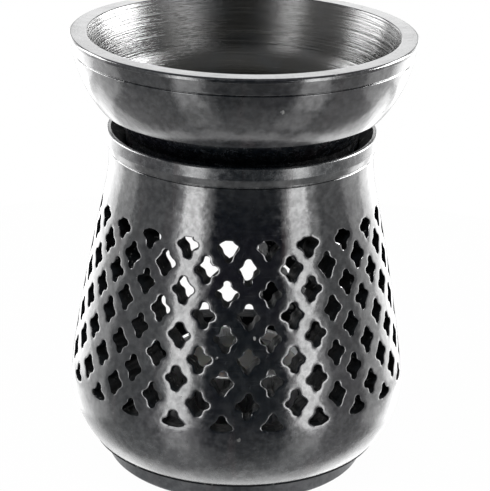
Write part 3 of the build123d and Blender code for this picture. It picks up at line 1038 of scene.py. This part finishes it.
def stone_surface(name, finish, low_rough, high_rough):
    """Black soapstone: cloudy ground with faint veins, turning scratches, flecks and bruised edges."""
    material, tree, place = new_finish(name)
    cloud = noise(tree, place, 70.0, 7.0, 0.6)
    drift = noise(tree, place, 28.0, 3.0)
    streak = noise(tree, stretched(tree, place, (170.0, 170.0, 18.0)), 1.0, 3.0)
    grain = noise(tree, place, 1300.0, 4.0, 0.65)
    mottle = noise(tree, place, 520.0, 3.0, 0.65)
    clouded = remap(tree, cloud, 0.36, 0.62, 0.25, 1.0)
    clouded = combine(tree, "MULTIPLY", clouded, remap(tree, mottle, 0.42, 0.62))
    ground = blend_colour(tree, clouded, finish.stone, finish.vein)
    ground = blend_colour(tree, remap(tree, drift, 0.45, 0.7, 0.0, 0.7), ground, finish.tint)
    ground = blend_colour(tree, remap(tree, streak, 0.58, 0.74, 0.0, 0.7), ground, finish.blush)
    turning = noise(tree, stretched(tree, place, (60.0, 60.0, 5200.0)), 1.0, 3.0, 0.7)
    rubbing = noise(tree, stretched(tree, place, (220.0, 3100.0, 300.0), (0.5, 0.3, 0.9)), 1.0, 2.0)
    rubbing = remap(tree, rubbing, 0.66, 0.74, 0.0, 0.8)
    scratch = combine(tree, "ADD", remap(tree, turning, 0.62, 0.72), rubbing)
    wobble = put(tree, "ShaderNodeTexNoise", {"Vector": place, "Scale": 900.0}).outputs["Color"]
    moved = {0: wobble, 1: (0.0016,) * 3, 2: place}
    torn = put(tree, "ShaderNodeVectorMath", moved, operation="MULTIPLY_ADD")
    fleck = specks(tree, torn.outputs["Vector"], 210.0, 0.13, 0.95)
    worn = put(tree, "ShaderNodeAttribute", {}, attribute_name="wear").outputs["Fac"]
    rubbed = combine(tree, "MULTIPLY", worn, remap(tree, noise(tree, place, 420.0, 4.0), 0.5, 0.68))
    chipped = combine(tree, "MULTIPLY", worn, remap(tree, noise(tree, place, 160.0, 2.0), 0.7, 0.74))
    bruise = combine(tree, "MAXIMUM", combine(tree, "MULTIPLY", rubbed, 0.2), chipped)
    pale = combine(tree, "MAXIMUM", fleck, bruise)
    base = blend_colour(tree, combine(tree, "MULTIPLY", scratch, 0.04), ground, finish.dust)
    base = blend_colour(tree, pale, base, finish.dust)
    rough = remap(tree, mottle, 0.35, 0.68, low_rough, high_rough)
    rough = combine(tree, "ADD", rough, remap(tree, grain, 0.35, 0.7, -0.03, 0.05))
    rough = combine(tree, "ADD", rough, combine(tree, "MULTIPLY", scratch, 0.05))
    rough = combine(tree, "ADD", rough, combine(tree, "MULTIPLY", pale, 0.3))
    rise = put(tree, "ShaderNodeSeparateXYZ", {0: place}).outputs[2]
    belly = remap(tree, rise, *BELLY_FADE, 1.0, 0.0)
    bowl = remap(tree, rise, *BOWL_FADE, 1.0, 0.0)
    bowl = combine(tree, "MULTIPLY", remap(tree, rise, *BOWL_START), bowl)
    dull = combine(tree, "MAXIMUM", belly, bowl)
    rough = combine(tree, "ADD", rough, combine(tree, "MULTIPLY", dull, 0.13))
    sheen = remap(tree, mottle, 0.35, 0.65, 0.28, 0.52)
    sheen = combine(tree, "ADD", sheen, remap(tree, cloud, 0.35, 0.65, 0.02, 0.18))
    normal = bump(tree, noise(tree, place, 95.0, 2.0), 0.00012)
    normal = bump(tree, scratch, -0.000003, normal)
    normal = bump(tree, combine(tree, "ADD", grain, mottle), 0.000014, normal)
    normal = bump(tree, pale, -0.00004, normal)
    gloss = {"Roughness": rough, "Specular IOR Level": sheen, "IOR": 1.57}
    surface(tree, {"Base Color": base, "Normal": normal, **gloss})
    return material


def polished_soapstone(finish):
    """Soapstone polished by hand."""
    return stone_surface("polished_soapstone", finish, 0.07, 0.16)


def satin_soapstone(finish):
    """Soapstone left satin, as at the foot."""
    return stone_surface("satin_soapstone", finish, 0.4, 0.5)


def shaded_cut_soapstone(finish):
    """Stone as the drill and file left it, dull and scored, with pale powder in its pits; its near-black
    colour and low IOR, which mirrors almost nothing, are also painted shade for the holes, the chamber, the
    mouth and the body's bottom edge.
    """
    material, tree, place = new_finish("shaded_cut_soapstone")
    grain = noise(tree, place, 240.0, 6.0, 0.65)
    base = blend_colour(tree, remap(tree, grain, 0.4, 0.75), finish.cut, finish.vein)
    powder = remap(tree, noise(tree, place, 430.0, 4.0, 0.65), 0.62, 0.7, 0.0, 0.6)
    base = blend_colour(tree, powder, base, finish.dust)
    score = noise(tree, stretched(tree, place, (500.0, 500.0, 2600.0)), 1.0, 3.0)
    normal = bump(tree, noise(tree, place, 620.0, 3.0, 0.6), 0.00035)
    normal = bump(tree, score, 0.00006, normal)
    rough = remap(tree, grain, 0.3, 0.75, 0.45, 0.65)
    # Painted shade: the low IOR of 1.1 and the near-black colour keep the holes, the chamber and the mouth
    # dark.
    surface(tree, {"Base Color": base, "Roughness": rough, "IOR": 1.1, "Normal": normal})
    return material


def turned_soapstone(finish):
    """The dish as it left the lathe: grey rings of many widths round the axis, and soft bruises."""
    material, tree, place = new_finish("turned_soapstone")
    split = put(tree, "ShaderNodeSeparateXYZ", {0: place})
    across = combine(tree, "MULTIPLY", split.outputs[0], split.outputs[0])
    along = combine(tree, "MULTIPLY", split.outputs[1], split.outputs[1])
    radius = combine(tree, "SQRT", combine(tree, "ADD", across, along), 0.0)
    slant = combine(tree, "ADD", radius, split.outputs[2])
    turn = combine(tree, "ARCTAN2", split.outputs[1], split.outputs[0])
    ringed = put(
        tree,
        "ShaderNodeCombineXYZ",
        {
            0: combine(tree, "MULTIPLY", combine(tree, "SINE", turn, 0.0), 1.4),
            1: combine(tree, "MULTIPLY", combine(tree, "COSINE", turn, 0.0), 1.4),
            2: combine(tree, "MULTIPLY", slant, 1500.0),
        },
    ).outputs[0]
    ring = noise(tree, ringed, 1.0, 4.0, 0.65)
    cloud = noise(tree, place, 90.0, 5.0)
    base = blend_colour(tree, remap(tree, ring, 0.4, 0.72), finish.dish, finish.dish_streak)
    base = blend_colour(tree, remap(tree, cloud, 0.5, 0.75, 0.0, 0.6), base, finish.vein)
    normal = bump(tree, ring, 0.00013)
    normal = bump(tree, cloud, 0.00005, normal)
    rough = remap(tree, ring, 0.3, 0.75, 0.18, 0.3)
    surface(tree, {"Base Color": base, "Roughness": rough, "IOR": 1.6, "Normal": normal})
    return material


def pressed_aluminium(finish):
    """Thin pressed sheet with rolling lines and soft dents."""
    material, tree, place = new_finish("pressed_aluminium")
    line = noise(tree, stretched(tree, place, (2600.0, 90.0, 120.0)), 1.0, 3.0)
    dent = noise(tree, place, 210.0, 2.0)
    base = blend_colour(tree, remap(tree, line, 0.35, 0.7, 0.0, 0.35), finish.aluminium, finish.steel)
    normal = bump(tree, dent, 0.00012)
    normal = bump(tree, line, 0.000008, normal)
    rough = remap(tree, line, 0.3, 0.7, 0.24, 0.4)
    surface(tree, {"Base Color": base, "Metallic": 1.0, "Roughness": rough, "Normal": normal})
    return material


def paraffin(finish):
    """White wax, a little clear, with a cast skin."""
    material, tree, place = new_finish("paraffin")
    cloud = noise(tree, place, 160.0, 4.0)
    paler = tuple(0.92 * value for value in finish.wax)
    base = blend_colour(tree, remap(tree, cloud, 0.35, 0.7), finish.wax, paler)
    normal = bump(tree, noise(tree, place, 420.0, 3.0), 0.00005)
    sockets = {
        "Base Color": base,
        "Roughness": remap(tree, cloud, 0.3, 0.7, 0.55, 0.7),
        "IOR": 1.44,
        "Specular IOR Level": 0.15,
        "Subsurface Weight": 0.35,
        "Subsurface Radius": (0.004, 0.003, 0.002),
        "Subsurface Scale": 1.0,
        "Normal": normal,
    }
    surface(tree, sockets)
    return material


def waxed_cotton(finish):
    """Plied cotton, darker at the tip."""
    material, tree, place = new_finish("waxed_cotton")
    fibre = noise(tree, stretched(tree, place, (2400.0, 2400.0, 500.0)), 1.0, 3.0)
    tip = put(tree, "ShaderNodeAttribute", {}, attribute_name="wear").outputs["Fac"]
    darker = tuple(0.75 * value for value in finish.cotton)
    base = blend_colour(tree, remap(tree, fibre, 0.35, 0.7), finish.cotton, darker)
    base = blend_colour(tree, combine(tree, "MULTIPLY", tip, 0.25), base, finish.steel)
    surface(tree, {"Base Color": base, "Roughness": 0.75, "Normal": bump(tree, fibre, 0.00006)})
    return material


def tinned_steel(finish):
    """Stamped tinplate with drawn lines."""
    material, tree, place = new_finish("tinned_steel")
    line = noise(tree, stretched(tree, place, (2200.0, 140.0, 140.0)), 1.0, 3.0)
    paler = tuple(1.2 * value for value in finish.steel)
    base = blend_colour(tree, remap(tree, line, 0.35, 0.7), finish.steel, paler)
    rough = remap(tree, line, 0.3, 0.7, 0.28, 0.45)
    normal = bump(tree, line, 0.00001)
    surface(tree, {"Base Color": base, "Metallic": 1.0, "Roughness": rough, "Normal": normal})
    return material


def fresh(maker, finish):
    """The material of that name, made once."""
    return bpy.data.materials.get(maker.__name__) or maker(finish)


class BURNER_OT_pierced_body(bpy.types.Operator):
    """Build the turned body with its holes and its candle door"""

    bl_idname = "burner.pierced_body"
    bl_label = "Pierced body"

    def execute(self, context):
        scene = context.scene
        finishes = [fresh(maker, scene.burner_finish) for maker in (polished_soapstone, shaded_cut_soapstone)]
        piece = new_piece("body_stone", body_patches(scene.burner_body, scene.burner_lattice), finishes)
        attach(piece, "burner")
        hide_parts("pierced_body")
        return {"FINISHED"}


class BURNER_OT_foot_plate(bpy.types.Operator):
    """Build the foot plate under the body"""

    bl_idname = "burner.foot_plate"
    bl_label = "Foot plate"

    def execute(self, context):
        scene = context.scene
        foot = scene.burner_foot
        profile, wear = foot_profile(scene.burner_body, foot)
        patch = turned_patch(profile, wear, foot.columns)
        piece = new_piece("foot_stone", [patch], [fresh(satin_soapstone, scene.burner_finish)])
        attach(piece, "burner")
        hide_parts("foot_plate")
        return {"FINISHED"}


class BURNER_OT_oil_bowl(bpy.types.Operator):
    """Build the lift-off bowl"""

    bl_idname = "burner.oil_bowl"
    bl_label = "Oil bowl"

    def execute(self, context):
        scene = context.scene
        profile, wear, finish = bowl_profile(scene.burner_bowl)
        patch = turned_patch(profile, wear, scene.burner_bowl.columns, finish)
        finishes = [fresh(maker, scene.burner_finish) for maker in (polished_soapstone, turned_soapstone)]
        piece = new_piece("bowl_stone", [patch], finishes)
        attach(piece, "bowl")
        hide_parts("oil_bowl")
        return {"FINISHED"}


class BURNER_OT_tealight(bpy.types.Operator):
    """Build the tealight's cup, wax and wick, and finish its clip"""

    bl_idname = "burner.tealight"
    bl_label = "Tealight"

    def execute(self, context):
        scene = context.scene
        tealight, finish = scene.burner_tealight, scene.burner_finish
        made = [
            ("cup_sheet", cup_patch(tealight), pressed_aluminium, "tealight_cup", "cup_aluminium"),
            ("wax_fill", wax_patch(tealight), paraffin, "tealight_wax", "wax"),
            ("wick_cord", wick_patch(tealight), waxed_cotton, "wick", "wick_cotton"),
        ]
        for name, patch, maker, node, slot in made:
            piece = new_piece(name, [patch], [fresh(maker, finish)])
            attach(piece, "tealight")
            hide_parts(node)
        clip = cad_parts["wick_clip"]
        clip.data.materials.clear()
        clip.data.materials.append(fresh(tinned_steel, finish))
        return {"FINISHED"}


# Panel lamps: name, azimuth and elevation in degrees, width and height in metres, radiance, mirrored
LAMPS = [
    ("key", -35.0, 70.0, 0.9, 0.9, 2.4, False),
    ("left_strip", -37.8, 3.0, 0.225, 0.75, 8.0, True),
    ("right_strip", 48.3, 3.0, 0.225, 0.75, 7.8, True),
    ("left_halo", -38.5, 0.0, 0.42, 0.7, 1.4, True),
    ("right_halo", 50.0, 0.0, 0.44, 0.7, 1.4, True),
    ("left_pool", -39.0, -32.0, 0.23, 0.34, 1.5, True),
    ("right_pool", 51.5, -32.0, 0.23, 0.34, 1.2, True),
    ("left_trail", -40.0, -42.0, 0.25, 0.66, 0.8, True),
    ("right_trail", 53.0, -42.0, 0.25, 0.66, 0.9, True),
    ("left_side", -141.0, -2.0, 0.6, 0.6, 2.0, True),
    ("right_side", 141.0, -2.0, 0.6, 0.6, 1.8, True),
    ("left_wing", -128.0, -6.0, 0.95, 0.9, 1.4, True),
    ("right_wing", 128.0, -6.0, 0.95, 0.9, 1.3, True),
    ("left_low", -144.0, -44.0, 0.5, 0.5, 0.9, True),
    ("right_low", 144.0, -44.0, 0.5, 0.5, 1.7, True),
    ("left_high", -114.0, 22.0, 0.5, 0.4, 17.0, True),
    ("right_high", 114.0, 22.0, 0.5, 0.4, 43.0, True),
    ("back", 180.0, 15.0, 0.25, 0.25, 1.7, True),
    ("back_low", 180.0, -70.0, 0.9, 0.6, 1.3, True),
    ("under", 180.0, -88.0, 0.5, 0.5, 1.0, True),
]


def aimed(obj, place, target, roll=0.0):
    """Puts a camera or lamp at a place, looking at a target, and turns it about its own axis."""
    look = (Vector(target) - Vector(place)).to_track_quat("-Z", "Y").to_matrix().to_4x4()
    obj.matrix_world = Matrix.Translation(place) @ look @ Matrix.Rotation(roll, 4, "Z")
    bpy.context.scene.collection.objects.link(obj)


def panel_lamp(stage, name, azimuth, elevation, width, height, radiance, mirrored):
    """A rectangular lamp facing the burner: its power is radiance times pi times its area.

    A mirrored lamp shows in the polish alone, and the others light the surfaces alone.
    """
    light = bpy.data.lights.new(name, "AREA")
    light.shape = "RECTANGLE"
    light.size = width
    light.size_y = height
    light.energy = radiance * pi * width * height
    lamp = bpy.data.objects.new(name, light)
    lamp.visible_camera = False
    lamp.visible_diffuse = not mirrored
    lamp.visible_glossy = mirrored
    turn = stage.azimuth + radians(azimuth)
    rise = radians(elevation)
    reach = stage.lamp_distance
    place = (
        reach * np.sin(turn) * np.cos(rise),
        -reach * np.cos(turn) * np.cos(rise),
        stage.aim_z + reach * np.sin(rise),
    )
    aimed(lamp, place, (0, 0, stage.aim_z))


def dark_net(name, points, rows, columns, closed, material):
    """A grid of black net, there for reflections alone."""
    mesh = bpy.data.meshes.new(name)
    mesh.from_pydata(points.reshape(-1, 3).tolist(), [], grid_faces(rows, columns, closed).tolist())
    mesh.materials.append(material)
    net = bpy.data.objects.new(name, mesh)
    bpy.context.scene.collection.objects.link(net)
    net.visible_camera = False
    net.visible_diffuse = False
    net.visible_shadow = False
    net.visible_transmission = False


def dark_nets(stage):
    """Black net hung in front of the burner, closer woven towards its top, and a thinner one overhead."""
    material, tree, place = new_finish("black_net")
    upward = put(tree, "ShaderNodeSeparateXYZ", {0: place}).outputs[2]
    front = remap(tree, upward, -0.9, 0.05, 0.2, 0.9)
    cover = combine(tree, "MINIMUM", front, remap(tree, upward, 0.4, 1.1, 0.9, 0.5))
    thread = put(tree, "ShaderNodeBsdfDiffuse", {"Color": (0.006, 0.007, 0.009, 1.0)})
    gap = put(tree, "ShaderNodeBsdfTransparent", {})
    net = put(tree, "ShaderNodeMixShader", {0: cover, 1: gap.outputs["BSDF"], 2: thread.outputs["BSDF"]})
    put(tree, "ShaderNodeOutputMaterial", {"Surface": net.outputs["Shader"]})
    reach = stage.lamp_distance
    around = stage.azimuth + np.radians(np.linspace(-21.0, 35.0, 33))[None]
    height = reach * np.linspace(-1.6, 1.1, 17)[:, None]
    dark_net("front_net", around_axis(0.98 * reach, around, height), 17, 33, False, material)
    ring = 2 * pi * np.arange(48)[None] / 48
    radius = reach * np.linspace(1.2, 0.0, 9)[:, None]
    dark_net("top_net", around_axis(radius, ring, 1.4 * reach), 9, 48, True, material)


def seen_white(tree):
    """One for rays from the camera, from mirrors and through glass, and nought for the rest."""
    path = put(tree, "ShaderNodeLightPath", {})
    seen = combine(tree, "MAXIMUM", path.outputs["Is Camera Ray"], path.outputs["Is Glossy Ray"])
    return combine(tree, "MAXIMUM", seen, path.outputs["Is Transmission Ray"])


def white_room(stage):
    """A white room to the eye, and a soft fill for the light that it throws."""
    world = bpy.data.worlds.new("white_room")
    world.use_nodes = True
    tree = world.node_tree
    tree.nodes.clear()
    strength = remap(tree, seen_white(tree), 0.0, 1.0, stage.fill, 1.0)
    room = put(tree, "ShaderNodeBackground", {"Color": (1.0, 1.0, 1.0, 1.0), "Strength": strength})
    put(tree, "ShaderNodeOutputWorld", {"Surface": room.outputs["Background"]})
    bpy.context.scene.world = world


def pale_floor(stage):
    """A round white floor that keeps a faint shadow."""
    columns, rows = 96, 12
    radius = stage.floor_radius * np.linspace(0, 1, rows)[:, None]
    around = 2 * pi * np.arange(columns)[None] / columns
    points = around_axis(radius[::-1], around, 0.0).reshape(-1, 3)
    mesh = bpy.data.meshes.new("floor")
    mesh.from_pydata(points.tolist(), [], grid_faces(rows, columns, True).tolist())
    floor = bpy.data.objects.new("floor", mesh)
    bpy.context.scene.collection.objects.link(floor)
    material, tree, _ = new_finish("white_floor")
    matt = put(tree, "ShaderNodeBsdfDiffuse", {"Color": (1.0, 1.0, 1.0, 1.0)})
    glow = put(tree, "ShaderNodeEmission", {"Color": (1.0, 1.0, 1.0, 1.0), "Strength": 1.0})
    share = combine(tree, "MULTIPLY", seen_white(tree), 0.985)
    halves = {0: share, 1: matt.outputs["BSDF"], 2: glow.outputs["Emission"]}
    mixed = put(tree, "ShaderNodeMixShader", halves)
    put(tree, "ShaderNodeOutputMaterial", {"Surface": mixed.outputs["Shader"]})
    mesh.materials.append(material)
    floor.visible_glossy = False


class BURNER_OT_stage(bpy.types.Operator):
    """Build the floor, the room, the lamps and the camera"""

    bl_idname = "burner.stage"
    bl_label = "Stage"

    def execute(self, context):
        stage = context.scene.burner_stage
        white_room(stage)
        pale_floor(stage)
        for lamp in LAMPS:
            panel_lamp(stage, *lamp)
        dark_nets(stage)
        lens = bpy.data.cameras.new("camera")
        lens.sensor_fit = "HORIZONTAL"
        lens.sensor_width = 36.0
        lens.lens = stage.lens
        lens.shift_x = stage.shift_x
        lens.shift_y = stage.shift_y
        lens.clip_start = 0.01
        camera = bpy.data.objects.new("camera", lens)
        flat = stage.distance * np.cos(stage.elevation)
        place = (
            flat * np.sin(stage.azimuth),
            -flat * np.cos(stage.azimuth),
            stage.aim_z + stage.distance * np.sin(stage.elevation),
        )
        aimed(camera, place, (0, 0, stage.aim_z), stage.roll)
        context.scene.camera = camera
        context.scene.view_settings.view_transform = "Standard"
        return {"FINISHED"}


class BURNER_PT_panel(bpy.types.Panel):
    """Lists the burner's pieces and their sizes"""

    bl_label = "Soapstone oil burner"
    bl_idname = "BURNER_PT_panel"
    bl_space_type = "VIEW_3D"
    bl_region_type = "UI"
    bl_category = "Burner"

    def draw(self, context):
        for operator in OPERATORS:
            self.layout.operator(operator.bl_idname)
        for name, group in GROUPS.items():
            box = self.layout.box()
            box.label(text=name.replace("_", " "))
            settings = getattr(context.scene, name)
            for field in group.__annotations__:
                box.prop(settings, field)


GROUPS = {
    "burner_body": BurnerBody,
    "burner_lattice": BurnerLattice,
    "burner_bowl": BurnerBowl,
    "burner_foot": BurnerFoot,
    "burner_tealight": BurnerTealight,
    "burner_finish": BurnerFinish,
    "burner_stage": BurnerStage,
}
OPERATORS = [
    BURNER_OT_pierced_body,
    BURNER_OT_foot_plate,
    BURNER_OT_oil_bowl,
    BURNER_OT_tealight,
    BURNER_OT_stage,
]


def register():
    """Register the settings, the operators and the panel."""
    for name, group in GROUPS.items():
        bpy.utils.register_class(group)
        setattr(bpy.types.Scene, name, bpy.props.PointerProperty(type=group))
    for operator in OPERATORS:
        bpy.utils.register_class(operator)
    bpy.utils.register_class(BURNER_PT_panel)


def unregister():
    """Remove what register added."""
    bpy.utils.unregister_class(BURNER_PT_panel)
    for operator in reversed(OPERATORS):
        bpy.utils.unregister_class(operator)
    for name, group in reversed(GROUPS.items()):
        delattr(bpy.types.Scene, name)
        bpy.utils.unregister_class(group)


def main():
    """Build every piece and the stage."""
    register()
    bpy.ops.burner.pierced_body()
    bpy.ops.burner.foot_plate()
    bpy.ops.burner.oil_bowl()
    bpy.ops.burner.tealight()
    bpy.ops.burner.stage()


if __name__ == "__main__":
    main()
